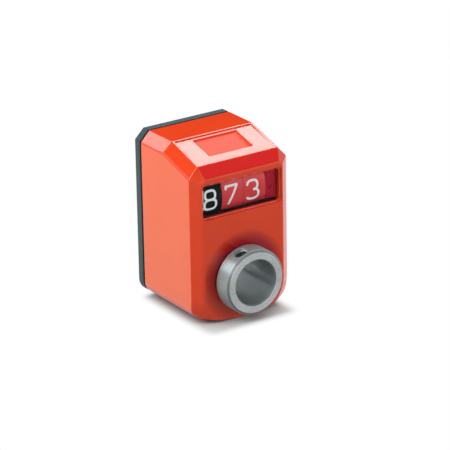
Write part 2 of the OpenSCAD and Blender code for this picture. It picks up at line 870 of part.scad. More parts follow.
// Frame of the counter: two cheeks joined by bars that stand on the base
module counter_frame() {
  foot_gap = 0.3;
  bar_t = 1.6;
  bar_gap = 0.6;
  boss = 2.2;
  sight_r = 0.3;
  sight_in = 1;
  rear = base_t + spigot_d + foot_gap;
  bar_half = in_half - run_clear - spigot_wall - side_clear;
  roof = top_h - wall - run_clear - spigot_wall - side_clear;
  low_bar = [crown_out + bar_gap, crown_out + bar_gap + bar_t];
  top_bar = [roof - bar_t, roof];
  idler_back = -idler_c[0] - idler_r - tip_share * train_m - bar_clear;
  low_bar_d = [base_t, min(clear_depth(low_bar[1]), idler_back)];
  top_bar_d = [base_t, clear_depth(top_bar[0])];
  axle_front = -counter_d - axle_r - boss;
  idler_front = idler_c[0] - boss;
  upper = [[-rear, roof], [-top_bar_d[1], roof], [axle_front, counter_h + boss]];
  left = [[axle_front, counter_h - boss], [-low_bar_d[1], low_bar[0]], [-rear, low_bar[0]]];
  window_c = counter_h + window_rise;
  right = [
    [-case_d, window_c + window_h / 2], [-case_d, window_c - window_h / 2],
    [axle_front, idler_z + 2 * boss], [idler_front, idler_z + boss], [idler_front, idler_z - boss],
    [cluster_c[0] - boss, -boss], [-rear - boss, -boss], [-rear, 0]
  ];
  color(red) difference() {
    union() {
      intersection() {
        union() {
          along_x(left_x0) linear_extrude(left_x1 - left_x0) polygon(concat(upper, left));
          along_x(cheek_x0) linear_extrude(cheek_x1 - cheek_x0) polygon(concat(upper, right));
          box([left_x0, cheek_x1], [rear, low_bar_d[1]], low_bar);
          box([left_x0, cheek_x1], [rear, top_bar_d[1]], top_bar);
        }
        case_body(wall + side_clear, 0, in_chamfer, in_low_r, in_soft);
      }
      intersection() {
        union() {
          box([-bar_half, bar_half], low_bar_d, low_bar);
          box([-bar_half, bar_half], top_bar_d, top_bar);
        }
        to_front(0) linear_extrude(case_d) outline(bar_half, roof, -axis_h, in_chamfer, in_low_r);
      }
    }
    rod_x(left_x0 - eps, cheek_x1 + eps, axle_r, counter_c);
    rod_x(cheek_x0 - eps, cheek_x1 + eps, pin_r, cluster_c);
    rod_x(cheek_x0 - eps, cheek_x1 + eps, pin_r, idler_c);
    rod_x(cheek_x0 - eps, cheek_x1 + eps, sight_r, counter_c - [wheel_r - sight_in, sight_in]);
  }
}

front_case();
window_pane();
rear_base();
rear_gasket();
front_seal();
counter_frame();
counter_axle();
axle_clips();
tens_carrier();
hundreds_carrier();
tens_pinion_pin();
hundreds_pinion_pin();
cluster_pin();
idler_pin();
drive_bush();
grub_screw();
crown_gear();
retaining_ring();
cluster_gear();
idler_gear();
units_wheel();
units_drive_gear();
tens_wheel();
hundreds_wheel();
tens_carry_pinion();
hundreds_carry_pinion();
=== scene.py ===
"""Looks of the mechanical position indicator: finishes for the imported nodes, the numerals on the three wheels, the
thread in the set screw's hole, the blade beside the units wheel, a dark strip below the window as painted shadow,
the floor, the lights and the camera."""

import math

import bmesh
import bpy
import numpy as np
from mathutils import Matrix, Vector


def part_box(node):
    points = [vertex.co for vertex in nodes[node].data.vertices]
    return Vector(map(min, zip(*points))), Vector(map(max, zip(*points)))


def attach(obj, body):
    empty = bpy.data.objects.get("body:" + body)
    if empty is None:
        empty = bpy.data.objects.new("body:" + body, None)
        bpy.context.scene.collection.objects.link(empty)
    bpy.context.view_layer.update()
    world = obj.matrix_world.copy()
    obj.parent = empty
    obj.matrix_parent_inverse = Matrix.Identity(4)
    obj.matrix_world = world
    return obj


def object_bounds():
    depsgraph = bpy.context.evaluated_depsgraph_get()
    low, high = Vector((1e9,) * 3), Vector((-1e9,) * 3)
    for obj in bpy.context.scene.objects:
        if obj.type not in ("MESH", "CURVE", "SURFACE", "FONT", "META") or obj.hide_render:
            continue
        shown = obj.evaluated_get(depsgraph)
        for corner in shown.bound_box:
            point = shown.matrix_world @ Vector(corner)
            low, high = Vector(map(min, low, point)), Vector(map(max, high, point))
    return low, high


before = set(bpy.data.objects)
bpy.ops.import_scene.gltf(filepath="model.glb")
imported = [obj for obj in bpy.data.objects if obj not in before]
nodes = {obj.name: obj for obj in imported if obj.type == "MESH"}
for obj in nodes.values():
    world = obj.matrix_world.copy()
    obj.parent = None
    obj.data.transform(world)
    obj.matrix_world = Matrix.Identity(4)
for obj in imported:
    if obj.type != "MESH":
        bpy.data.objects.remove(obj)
cad_box = [list(corner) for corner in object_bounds()]
MM = 0.001


def corners(node):
    """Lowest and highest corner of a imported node, in millimetres."""
    return [np.array(corner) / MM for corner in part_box(node)]


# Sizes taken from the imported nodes, in millimetres
wheel_low, wheel_high = corners("tens_wheel")
WHEEL_R = (wheel_high[2] - wheel_low[2]) / 2
AXLE_Y, AXLE_Z = (wheel_low[1] + wheel_high[1]) / 2, (wheel_low[2] + wheel_high[2]) / 2
WHEEL_W = wheel_high[0] - wheel_low[0]
WHEEL_END = corners("units_wheel")[0][0] + WHEEL_W
FLOOR_Z = cad_box[0][2] / MM

# The numerals: the turn from one to the next, their size, their place on each wheel and the one that shows at rest
DIGIT_ANGLE = 2 * math.pi / 10
NUMERAL_W, NUMERAL_H, STROKE_W = 3.0, 4.15, 0.55
NUMERAL_X = {"units": -0.55, "tens": -0.35, "hundreds": -0.13}
NUMERAL_UP = 0.08
SHOWN = {"units": 3, "tens": 7, "hundreds": 8}

# Width of a blade along its way, as a share: nothing at its two ends, full between them
DRAW = np.array([0, 1, 1, 0.0])[:, None]


# Meshes

def skin(points, around, along):
    """Faces of a grid of points with rows along a path and columns round its profile; each face joins a point to
    its next column and next row, and the grid closes on itself where around or along is true."""
    rows, cols = points.shape[:2]
    index = np.arange(rows * cols).reshape(rows, cols)
    down = np.roll(index, -1, 0) if along else index[1:]
    here = index if along else index[:-1]
    quads = np.stack([here, np.roll(here, -1, 1), np.roll(down, -1, 1), down], -1)
    if not around:
        quads = quads[:, :-1]
    return points.reshape(-1, 3), quads.reshape(-1, 4)


def new_mesh(name, points, faces, finish):
    """A mesh of points in metres and their faces, with one finish."""
    mesh = bpy.data.meshes.new(name)
    mesh.from_pydata(points.tolist(), [], faces.tolist())
    mesh.materials.append(finish)
    return mesh


def new_object(name, data):
    """An object with this data, in the scene and at the origin."""
    obj = bpy.data.objects.new(name, data)
    bpy.context.scene.collection.objects.link(obj)
    return obj


def piece(name, skins, body, finish, smooth=True, doubles=1e-8):
    """One object from several skins, with its doubles merged, its faces turned outwards and its place in its mesh."""
    starts = np.cumsum([0] + [len(p) for p, _ in skins[:-1]])
    points = np.concatenate([p for p, _ in skins]) * MM
    faces = np.concatenate([q + s for (_, q), s in zip(skins, starts)])
    mesh = new_mesh(name, points, faces, finish)
    shape = bmesh.new()
    shape.from_mesh(mesh)
    bmesh.ops.remove_doubles(shape, verts=shape.verts, dist=doubles)
    bmesh.ops.recalc_face_normals(shape, faces=shape.faces)
    shape.to_mesh(mesh)
    shape.free()
    mesh.polygons.foreach_set("use_smooth", np.full(len(mesh.polygons), smooth))
    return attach(new_object(name, mesh), body)


def bow(cx, cy, rx, ry, start, end, square=2.5, count=40):
    """Arc of a superellipse about (cx, cy): each axis is the half width times cosine or sine raised to two over
    the squareness, from the start to the end angle in degrees."""
    t = np.radians(np.linspace(start, end, count))
    c, s = np.cos(t), np.sin(t)
    power = 2 / square
    return np.stack([cx + rx * np.sign(c) * np.abs(c) ** power, cy + ry * np.sign(s) * np.abs(s) ** power], -1)


def oval(square, count=28):
    """Closed superellipse of half width one, as two rows: its first and its second axis."""
    ring = bow(0, 0, 1, 1, 0, 360, square, count + 1)[:-1]
    return ring[None, :, 0], ring[None, :, 1]


def run(*points):
    """Straight strokes through the points."""
    return np.array(points, float)


def even(path, closed, step=0.06, fewest=8, ease=3):
    """The path at even steps of its length, its corners eased by a mean over a few neighbours."""
    pts = np.concatenate([path, path[:1]]) if closed else path
    length = np.concatenate([[0], np.cumsum(np.hypot(*np.diff(pts, axis=0).T))])
    count = max(fewest, int(length[-1] / step))
    at = np.linspace(0, length[-1], count, endpoint=not closed)
    out = np.stack([np.interp(at, length, pts[:, k]) for k in (0, 1)], -1)
    for _ in range(ease):
        if closed:
            out = (np.roll(out, 1, 0) + 2 * out + np.roll(out, -1, 0)) / 4
        else:
            out[1:-1] = (out[:-2] + 2 * out[1:-1] + out[2:]) / 4
    return out


def numeral_strokes(digit):
    """Centre lines of one numeral as (path, closed), in millimetres about its middle: straight runs and
    superellipse bows in the thin single-stroke lettering of counter wheels. Their numbers are shares of the
    numeral's half width and half height, and angles in degrees."""
    w, h = NUMERAL_W / 2, NUMERAL_H / 2
    tail = np.concatenate([run((0.75 * w, h)), bow(0.1 * w, -0.05 * h, 1.1 * w, 0.75 * h, 118, 172, 2)])
    strokes = {
        0: [(bow(0, 0, 0.94 * w, h, 0, 360), True)],
        1: [(run((-0.35 * w, 0.66 * h), (0.08 * w, h), (0.08 * w, -h)), False)],
        2: [(np.concatenate([bow(0, 0.42 * h, 0.93 * w, 0.58 * h, 168, -20), run((-w, -h), (w, -h))]), False)],
        3: [(np.concatenate([run((-0.9 * w, 0.5 * h)), bow(-0.02 * w, 0.5 * h, 0.86 * w, 0.5 * h, 172, -68),
                             run((0.06 * w, 0.02 * h)),
                             bow(-0.02 * w, -0.48 * h, w, 0.52 * h, 66, -160)]), False)],
        4: [(run((0.3 * w, h), (-w, -0.42 * h), (w, -0.42 * h)), False),
            (run((0.45 * w, 0.2 * h), (0.45 * w, -h)), False)],
        5: [(np.concatenate([run((0.85 * w, h), (-0.72 * w, h), (-0.82 * w, 0.12 * h)),
                             bow(-0.05 * w, -0.4 * h, 0.98 * w, 0.6 * h, 118, -158)]), False)],
        6: [(bow(0, -0.4 * h, 0.95 * w, 0.6 * h, 0, 360), True), (tail, False)],
        7: [(run((-0.92 * w, 0.62 * h), (-0.92 * w, h), (w, h), (-0.55 * w, -h)), False)],
        8: [(bow(0, 0.52 * h, 0.84 * w, 0.48 * h, 0, 360, 2.9), True),
            (bow(0, -0.48 * h, 0.97 * w, 0.52 * h, 0, 360, 2.9), True)],
        9: [(-bow(0, -0.4 * h, 0.95 * w, 0.6 * h, 0, 360), True), (-tail, False)],
    }
    return [(even(path, closed), closed) for path, closed in strokes[digit]]


def stroke_on_wheel(path, closed, x, angle, lift=0.05, sides=10):
    """Skin of one printed stroke: a flat ellipse carried along the path, its width drawn in as a half circle at
    free ends, then wrapped on the wheel. Across is x, up the path is arc length over the radius about the axle."""
    ahead = (np.roll(path, -1, 0) - np.roll(path, 1, 0)) if closed else np.gradient(path, axis=0)
    ahead /= np.linalg.norm(ahead, axis=1, keepdims=True)
    side = np.stack([-ahead[:, 1], ahead[:, 0]], -1)
    rise = np.ones(len(path))
    if not closed:
        far = np.concatenate([[0], np.cumsum(np.hypot(*np.diff(path, axis=0).T))])
        near = np.minimum(far, far[-1] - far) / (STROKE_W / 2)
        rise = np.sqrt(1 - np.clip(1 - near, 0, 1) ** 2)
    turn = np.linspace(0, 2 * math.pi, sides, endpoint=False)
    half = STROKE_W / 2 * rise
    flat = path[:, None, :] + side[:, None, :] * half[:, None, None] * np.cos(turn)[None, :, None]
    radius = WHEEL_R + lift * rise[:, None] * np.sin(turn)[None, :]
    theta = angle + (flat[..., 1] + NUMERAL_UP) / WHEEL_R
    grid = np.stack([x + flat[..., 0], AXLE_Y - radius * np.cos(theta), AXLE_Z + radius * np.sin(theta)], -1)
    return skin(grid, around=True, along=closed)


def numerals(body, finish):
    """Ten numerals round one wheel; each is a tenth of a turn below the one before, with the shown one in front."""
    x = corners(body + "_wheel")[0][0] + WHEEL_W / 2 + NUMERAL_X[body]
    skins = [
        stroke_on_wheel(path, closed, x, -DIGIT_ANGLE * (digit - SHOWN[body]))
        for digit in range(10)
        for path, closed in numeral_strokes(digit)
    ]
    return piece(body + "_numerals", skins, body, finish)


def hole_thread(finish, pitch=0.4, crest=0.2, sunk=0.02, above_screw=0.7, below_mouth=0.12):
    """Skin of the thread in the set screw's hole: a ridge with a flat crest carried along a helix, its height
    drawn in over the first and last quarter turn. The hole runs outwards from the spindle's axis, and the ridge's
    foot is sunk a little into its wall."""
    foot, flat = 0.42 * pitch, 0.08 * pitch         # half widths of the ridge's foot and of its crest
    steps, run_out = 48, 0.25                       # points in a turn, and turns over which the ridge is drawn in
    thinnest = 0.05                                 # share of the ridge's width that is left at its ends
    low, high = corners("grub_screw")
    bush_low, bush_high = corners("drive_bush")
    bush_r = (bush_high[0] - bush_low[0]) / 2
    middle = (low + high) / 2
    out = np.array([middle[0], 0, middle[2]])
    out /= np.linalg.norm(out)
    depth = np.array([0, 1, 0])
    across = np.cross(out, depth)
    root = (high[1] - low[1]) / 2
    start = np.linalg.norm([middle[0], middle[2]]) + above_screw
    end = math.sqrt(bush_r ** 2 - root ** 2) - below_mouth
    turns = (end - start) / pitch
    t = np.linspace(0, turns, int(turns * steps) + 2)
    fade = np.clip(np.minimum(t, turns - t) / run_out, 0, 1)
    inwards = np.array([0, crest + sunk, crest + sunk, 0])
    along = np.array([-foot, -flat, flat, foot])
    r = root + sunk - inwards[None, :] * fade[:, None]
    h = start + t[:, None] * pitch + along[None, :] * np.maximum(fade, thinnest)[:, None]
    a = 2 * math.pi * t[:, None]
    base = np.array([0, middle[1], 0])
    grid = base + h[..., None] * out + (r * np.cos(a))[..., None] * across + (r * np.sin(a))[..., None] * depth
    return piece("hole_thread", [skin(grid, around=True, along=False)], "spindle", finish, smooth=False)


def side_blade(finish, thick=0.4, wheel_gap=0.15, cheek_gap=1.4, deep=0.93, tall=1.5, below=0.72):
    """Blade of the counter frame that hides the gears beside the units wheel: a flat superellipse, across x and
    along the depth, slanted so that it comes nearer the pane on the right, carried straight up and drawn in at
    both ends. How deep its left edge lies, how tall it is and how far it starts below the axle are shares of the
    wheel's radius."""
    low, high = WHEEL_END + wheel_gap, corners("counter_frame")[1][0] - cheek_gap
    left_y, right_y = AXLE_Y - deep * WHEEL_R, corners("window_pane")[1][1] + thick
    wide, through = oval(square=6)
    rise = np.array([0, 0, 1, 1])[:, None]
    x = (low + high) / 2 + (high - low) / 2 * DRAW * wide
    y = (left_y + right_y) / 2 + (right_y - left_y) / 2 * DRAW * wide + thick / 2 * DRAW * through
    z = np.broadcast_to(AXLE_Z + WHEEL_R * (tall * rise - below), x.shape)
    blade = skin(np.stack([x, y, z], -1), around=True, along=False)
    return piece("side_blade", [blade], "housing", finish, smooth=False)


def window_shade_strip(finish, thick=0.4, pane_gap=0.08, half_height=0.8):
    """Dark strip behind the window's lower edge, a painted shadow where the wheels lie in shade: a flat superellipse,
    along the depth and up, carried straight across and drawn in at both ends."""
    low, high = corners("window_pane")
    through, up = oval(square=4)
    y = high[1] + pane_gap + thick / 2 + thick / 2 * DRAW * through
    z = low[2] + half_height * DRAW * up
    x = np.broadcast_to(np.array([low[0], low[0], high[0], high[0]])[:, None], y.shape)
    strip_skin = skin(np.stack([x, y, z], -1), around=True, along=False)
    return piece("window_shade_strip", [strip_skin], "housing", finish, smooth=False)


# Nodes and node groups

MIX_A, MIX_B, MIXED = 6, 7, 2           # the colour sockets of a Mix node
NOISE_LOW, NOISE_HIGH = 0.3, 0.7        # the range that a noise mostly keeps to
PER_METRE = 1000                        # millimetres in a metre, for the scale of a noise
EDGE_RADIUS, EDGE_GAIN = 0.2, 4.0       # how wide, in millimetres, and how strongly the edges are lightened as a painted highlight


def put(tree, kind, feeds=None, **settings):
    """Adds one node; settings are its properties and feeds its inputs, either a socket or a plain value."""
    n = tree.nodes.new("ShaderNode" + kind)
    for key, value in settings.items():
        setattr(n, key, value)
    for key, value in (feeds or {}).items():
        if isinstance(value, bpy.types.NodeSocket):
            tree.links.new(value, n.inputs[key])
        else:
            n.inputs[key].default_value = value
    return n


def math_node(tree, operation, *values):
    """Result of one operation on sockets or plain numbers."""
    return put(tree, "Math", dict(enumerate(values)), operation=operation).outputs[0]


def vector_node(tree, operation, *values):
    """Vector that one operation on vectors gives."""
    return put(tree, "VectorMath", dict(enumerate(values)), operation=operation).outputs["Vector"]


def vector_value(tree, operation, *values):
    """Number that one operation on vectors gives."""
    return put(tree, "VectorMath", dict(enumerate(values)), operation=operation).outputs["Value"]


def ramp(tree, value, start, end, kind="LINEAR", **ends):
    """Number that goes from nought to one, or between the given ends, as the value goes from start to end."""
    feeds = {"Value": value, "From Min": start, "From Max": end}
    feeds.update({key.replace("_", " "): level for key, level in ends.items()})
    return put(tree, "MapRange", feeds, interpolation_type=kind).outputs[0]


def own_place(tree):
    """Place on the piece's own coordinates, in metres."""
    return put(tree, "TexCoord").outputs["Object"]


def noise(tree, where, size, detail, rough):
    """Noise whose cells have a size in millimetres, given as a socket."""
    scale = math_node(tree, "DIVIDE", PER_METRE, size)
    feeds = {"Vector": where, "Scale": scale, "Detail": detail, "Roughness": rough}
    return put(tree, "TexNoise", feeds).outputs["Fac"]


def new_group(name, inputs, outputs):
    """An empty shader node group with number inputs and number outputs."""
    g = bpy.data.node_groups.new(name, "ShaderNodeTree")
    for label, value in inputs.items():
        socket = g.interface.new_socket(label, in_out="INPUT", socket_type="NodeSocketFloat")
        socket.default_value = value
    for label in outputs:
        g.interface.new_socket(label, in_out="OUTPUT", socket_type="NodeSocketFloat")
    return g, g.nodes.new("NodeGroupInput"), g.nodes.new("NodeGroupOutput")


def moulded_grain():
    """Grain of a moulded skin: two noises on the piece's own coordinates, a fine one for the height and a broad
    one for the drift of tone."""
    g, given, gives = new_group("moulded_grain", {"Grain size": 0.2, "Drift size": 6.0}, ["Height", "Tone"])
    where = own_place(g)
    fine = noise(g, where, given.outputs["Grain size"], detail=2.0, rough=0.5)
    broad = noise(g, where, given.outputs["Drift size"], detail=3.0, rough=0.55)
    g.links.new(fine, gives.inputs["Height"])
    g.links.new(broad, gives.inputs["Tone"])
    return g


def turned_lines(round_drift=0.00006, band_scale=2200.0):
    """Lines left by a turning tool: noise that depends on the distance from the spindle's axis and on the place
    along it, and hardly on the way round."""
    g, given, gives = new_group("turned_lines", {"Line size": 0.08}, ["Height", "Tone"])
    place = put(g, "SeparateXYZ", {0: own_place(g)})
    x, y, z = (place.outputs[k] for k in "XYZ")
    r = math_node(g, "SQRT", math_node(g, "ADD", math_node(g, "MULTIPLY", x, x), math_node(g, "MULTIPLY", z, z)))
    turn = math_node(g, "MULTIPLY", math_node(g, "ARCTAN2", z, x), round_drift)
    flat = put(g, "CombineXYZ", {0: r, 1: y, 2: turn}).outputs[0]
    lines = noise(g, flat, given.outputs["Line size"], detail=3.0, rough=0.65)
    bands = put(g, "TexNoise", {"Vector": flat, "Scale": band_scale, "Detail": 2.0}).outputs["Fac"]
    g.links.new(lines, gives.inputs["Height"])
    g.links.new(bands, gives.inputs["Tone"])
    return g


def edge_mask():
    """Mask of the edges: one minus the product of the face's normal and the normal rounded over a small radius."""
    g, given, gives = new_group("edge_mask", {"Radius": 0.00015, "Gain": 6.0}, ["Mask"])
    soft = put(g, "Bevel", {"Radius": given.outputs["Radius"]}, samples=6).outputs[0]
    alike = vector_value(g, "DOT_PRODUCT", soft, put(g, "NewGeometry").outputs["Normal"])
    mask = put(g, "Math", {0: math_node(g, "SUBTRACT", 1.0, alike), 1: given.outputs["Gain"]},
               operation="MULTIPLY", use_clamp=True)
    g.links.new(mask.outputs[0], gives.inputs["Mask"])
    return g


def occlusion_shade_mask():
    """Mask of where the painted shade goes: what nearby surfaces hide of the open half sphere, between two limits."""
    g, given, gives = new_group("occlusion_shade_mask", {"Reach": 0.009, "Open": 0.96, "Closed": 0.68}, ["Mask"])
    seen = put(g, "AmbientOcclusion", {"Distance": given.outputs["Reach"]}, samples=12).outputs["AO"]
    mask = ramp(g, seen, given.outputs["Open"], given.outputs["Closed"], "SMOOTHSTEP")
    g.links.new(mask, gives.inputs["Mask"])
    return g


GRAIN, LINES, EDGE_HIGHLIGHTS, OCCLUSION_SHADOW = moulded_grain(), turned_lines(), edge_mask(), occlusion_shade_mask()


def use(tree, group, **values):
    """Places a group in a material, with the values of its inputs."""
    n = tree.nodes.new("ShaderNodeGroup")
    n.node_tree = group
    for key, value in values.items():
        n.inputs[key.replace("_", " ").capitalize()].default_value = value
    return n


def two_tone(tree, mask, colours):
    """Colour that goes from the first to the second with a noise's middle range."""
    mixed = put(tree, "Mix", {"Factor": ramp(tree, mask, NOISE_LOW, NOISE_HIGH)}, data_type="RGBA")
    for key, colour in zip((MIX_A, MIX_B), colours):
        mixed.inputs[key].default_value = (*colour, 1)
    return mixed.outputs[MIXED]


def spread(tree, mask, low, high):
    """Number that goes from low to high with a noise's middle range."""
    return ramp(tree, mask, NOISE_LOW, NOISE_HIGH, To_Min=low, To_Max=high)


def bump(tree, height, distance):
    """Normal lifted by a height of up to a distance in millimetres."""
    return put(tree, "Bump", {"Height": height, "Distance": distance * MM, "Strength": 1.0}).outputs[0]


def overlay(tree, mask, under, colour):
    """The colour under it, turned into the given one where the mask is one."""
    mixed = put(tree, "Mix", {"Factor": mask, MIX_A: under}, data_type="RGBA")
    mixed.inputs[MIX_B].default_value = (*colour, 1)
    return mixed.outputs[MIXED]


def box_mask(tree, box):
    """One inside a box, given by two corners in millimetres of the piece's own coordinates, nought outside."""
    place = put(tree, "SeparateXYZ", {0: own_place(tree)})
    inside = 1.0
    for axis, low, high in zip("XYZ", *box):
        above = math_node(tree, "GREATER_THAN", place.outputs[axis], low * MM)
        below = math_node(tree, "LESS_THAN", place.outputs[axis], high * MM)
        inside = math_node(tree, "MULTIPLY", math_node(tree, "MULTIPLY", above, below), inside)
    return inside


def rim_mask(tree, way, none=0.97, full=0.99):
    """One on the face that looks one way, nought from a few degrees off it: the product of normal and way."""
    alike = vector_value(tree, "DOT_PRODUCT", put(tree, "NewGeometry").outputs["Normal"], way)
    return ramp(tree, alike, none, full)


def bush_shade_mask(tree, full, none, bottom=-7, top=3, least=0.1):
    """Mask of the painted shade round the bush: the occlusion mask, from full to none between two distances from the
    spindle's axis, and less towards the bottom. Sizes are in millimetres."""
    place = own_place(tree)
    away = vector_value(tree, "LENGTH", vector_node(tree, "MULTIPLY", place, (1, 0, 1)))
    near = ramp(tree, away, none * MM, full * MM, "SMOOTHSTEP")
    height = put(tree, "SeparateXYZ", {0: place}).outputs["Z"]
    above = ramp(tree, height, bottom * MM, top * MM, "SMOOTHSTEP", To_Min=least)
    return math_node(tree, "MULTIPLY", use(tree, OCCLUSION_SHADOW).outputs["Mask"], math_node(tree, "MULTIPLY", near, above))


# Materials

def blank(name, **sockets):
    """A material with one Principled shader whose plain values are set on its own sockets."""
    m = bpy.data.materials.new(name)
    m.use_nodes = True
    shader = m.node_tree.nodes["Principled BSDF"]
    for key, value in sockets.items():
        shader.inputs[key.replace("_", " ")].default_value = value
    return m, m.node_tree, shader


def moulded(name, colours, rough, grain_size, grain_depth, drift_size, edge=None, bush_shade=None, rim=None, **sockets):
    """A fine-grained skin, as on moulded plastic, rubber, print and plain steel: tone drifts between two colours,
    and the grain lifts the skin and moves the roughness. Where they are given, the edges take a painted highlight,
    and the rim that looks one way and the ring round the bush take painted shade."""
    m, tree, shader = blank(name, **sockets)
    grain = use(tree, GRAIN, grain_size=grain_size, drift_size=drift_size)
    colour = two_tone(tree, grain.outputs["Tone"], colours)
    # painted highlight: the edges are lightened where the light catches them
    if edge:
        lit_edges = use(tree, EDGE_HIGHLIGHTS, radius=EDGE_RADIUS * MM, gain=EDGE_GAIN)
        colour = overlay(tree, lit_edges.outputs["Mask"], colour, edge)
    # painted shade: the upper front rim, facing the front and up, takes a deeper red for the shade it lies in
    if rim:
        painted_colour, way = rim
        colour = overlay(tree, rim_mask(tree, way), colour, painted_colour)
    # painted shade: the front darkens to a deep red round the bush, where the bush hides the light
    if bush_shade:
        painted_colour, full, none = bush_shade
        colour = overlay(tree, bush_shade_mask(tree, full, none), colour, painted_colour)
    tree.links.new(colour, shader.inputs["Base Color"])
    tree.links.new(spread(tree, grain.outputs["Height"], *rough), shader.inputs["Roughness"])
    tree.links.new(bump(tree, grain.outputs["Height"], grain_depth), shader.inputs["Normal"])
    return m


def even_field(material, box, rough):
    """Gives the part of a material inside a box one roughness: the matt name field and the honed bore."""
    tree = material.node_tree
    shader = tree.nodes["Principled BSDF"]
    glossy = shader.inputs["Roughness"].links[0].from_socket
    mixed = put(tree, "Mix", {"Factor": box_mask(tree, box), "A": glossy, "B": rough})
    tree.links.new(mixed.outputs[0], shader.inputs["Roughness"])


def spot(material, place, radius, colour, core=0.6):
    """A small round mark of another colour on a material, at a place in millimetres of the piece's own coordinates,
    full within a core of the radius."""
    tree = material.node_tree
    shader = tree.nodes["Principled BSDF"]
    under = shader.inputs["Base Color"].links[0].from_socket
    away = vector_value(tree, "DISTANCE", own_place(tree), [c * MM for c in place])
    mask = ramp(tree, away, radius * MM, core * radius * MM)
    tree.links.new(overlay(tree, mask, under, colour), shader.inputs["Base Color"])


def turned(name, colours, rough, line_size, line_depth, painted_fields, **sockets):
    """Turned steel: fine lines round the spindle's axis in tone, roughness and height, with gloss drawn out across
    the lines by the shader's anisotropy along the way round, and a speckle of dark grains. Each field is a box
    whose colour is painted light or painted shade on that part of the bush."""
    m, tree, shader = blank(name, **sockets)
    lines = use(tree, LINES, line_size=line_size)
    grain = use(tree, GRAIN, grain_size=0.3, drift_size=2.0)
    speckle_start, speckle_end, speckle_share, speckle_tone = 0.45, 0.75, 0.4, 0.6
    speckle = ramp(tree, grain.outputs["Height"], speckle_start, speckle_end, To_Max=speckle_share)
    speckle_colour = [speckle_tone * c for c in colours[0]]
    colour = two_tone(tree, lines.outputs["Tone"], colours)
    # painted light and shade on parts of the bush
    for painted_colour, box in painted_fields:
        colour = overlay(tree, box_mask(tree, box), colour, painted_colour)
    tree.links.new(overlay(tree, speckle, colour, speckle_colour), shader.inputs["Base Color"])
    tree.links.new(spread(tree, lines.outputs["Height"], *rough), shader.inputs["Roughness"])
    tree.links.new(bump(tree, lines.outputs["Height"], line_depth), shader.inputs["Normal"])
    round_way = vector_node(tree, "CROSS_PRODUCT", (0, 1, 0), own_place(tree))
    world_way = put(tree, "VectorTransform", {0: round_way}, vector_type="VECTOR",
                    convert_from="OBJECT", convert_to="WORLD").outputs[0]
    tree.links.new(world_way, shader.inputs["Tangent"])
    return m


def clear_pane(smoothest=0.01, roughest=0.03):
    """Clear moulded pane: a refracting shader, with light let straight through for shadow and diffuse rays."""
    m, tree, shader = blank("clear_pane", Base_Color=(0.97, 0.98, 0.98, 1), Transmission_Weight=1.0, IOR=1.1)
    grain = use(tree, GRAIN, grain_size=1.5, drift_size=9.0)
    tree.links.new(spread(tree, grain.outputs["Tone"], smoothest, roughest), shader.inputs["Roughness"])
    rays = put(tree, "LightPath")
    through = math_node(tree, "MAXIMUM", rays.outputs["Is Shadow Ray"], rays.outputs["Is Diffuse Ray"])
    open_air = put(tree, "BsdfTransparent", {"Color": (0.94, 0.95, 0.95, 1)})
    mixed = put(tree, "MixShader", {0: through, 1: shader.outputs[0], 2: open_air.outputs[0]})
    tree.links.new(mixed.outputs[0], tree.nodes["Material Output"].inputs["Surface"])
    return m


# Boxes by two corners in millimetres: the matt name field on the case, then parts of the bush with painted light and
# shade
NAME_FIELD = (-5.5, -18.5, 24), (5.5, -12.1, 29)
END_FACE = (-8, -27, -8), (8, -26.84, 8)
END_CHAMFER = (-8, -26.84, -8), (8, -26.5, 8)
BORE = (-5.05, -26.5, -5.05), (5.05, 0.1, 5.05)

RIM_WAY = (0, -0.837, 0.547)            # the way that the upper front rim looks
BLADE_HOLE_SHADE = (8.18, -20.36, 17.81)       # a dark dot painted on the blade beside the units wheel as the shade in a pin hole, in millimetres
SATIN = {"grain_size": 0.14, "grain_depth": 0.004, "drift_size": 4.0}     # in millimetres, as for the others

# The orange carries painted shade: a dark ring round the bush and a deeper red on the upper front rim.
ORANGE = moulded("glossy_orange", [(0.87, 0.062, 0.014), (0.91, 0.069, 0.016)], rough=(0.1, 0.14), grain_size=0.9,
                 grain_depth=0.0012, drift_size=9.0, bush_shade=((0.38, 0.005, 0.013), 9.6, 11.0),
                 rim=((0.86, 0.031, 0.027), RIM_WAY))
# painted highlight: the slate's lighter colour on its edges
SLATE = moulded("slate_grain", [(0.031, 0.064, 0.078), (0.039, 0.075, 0.091)], rough=(0.42, 0.58), grain_size=0.16,
                grain_depth=0.012, drift_size=5.0, edge=(0.06, 0.1, 0.12), Specular_IOR_Level=0.15)
RED = moulded("satin_red", [(0.81, 0.056, 0.06), (0.87, 0.062, 0.066)], rough=(0.28, 0.36), **SATIN,
              Specular_IOR_Level=0.22)
# painted shade: the wheels' red plastic, darker and more crimson for the shade the counter frame and its blade lie in
SHADED_RED = moulded("satin_red_in_shade", [(0.6, 0.02, 0.05), (0.66, 0.025, 0.056)], rough=(0.45, 0.55), **SATIN,
                  Specular_IOR_Level=0.06)
BLACK = moulded("satin_black", [(0.004, 0.013, 0.011), (0.006, 0.017, 0.014)], rough=(0.45, 0.55), **SATIN,
                Specular_IOR_Level=0.04)
# painted shadow: the near-black brown of the strip below the window
SHADE = moulded("painted_shadow_brown", [(0.01, 0.004, 0.004), (0.014, 0.006, 0.006)], rough=(0.5, 0.6), **SATIN,
                Specular_IOR_Level=0.04)
IVORY = moulded("gear_ivory", [(0.7, 0.66, 0.53), (0.76, 0.72, 0.6)], rough=(0.36, 0.5), grain_size=0.2,
                grain_depth=0.004, drift_size=3.0)
RUBBER = moulded("black_rubber", [(0.012, 0.012, 0.013), (0.02, 0.02, 0.021)], rough=(0.6, 0.8), grain_size=0.12,
                 grain_depth=0.01, drift_size=2.0)
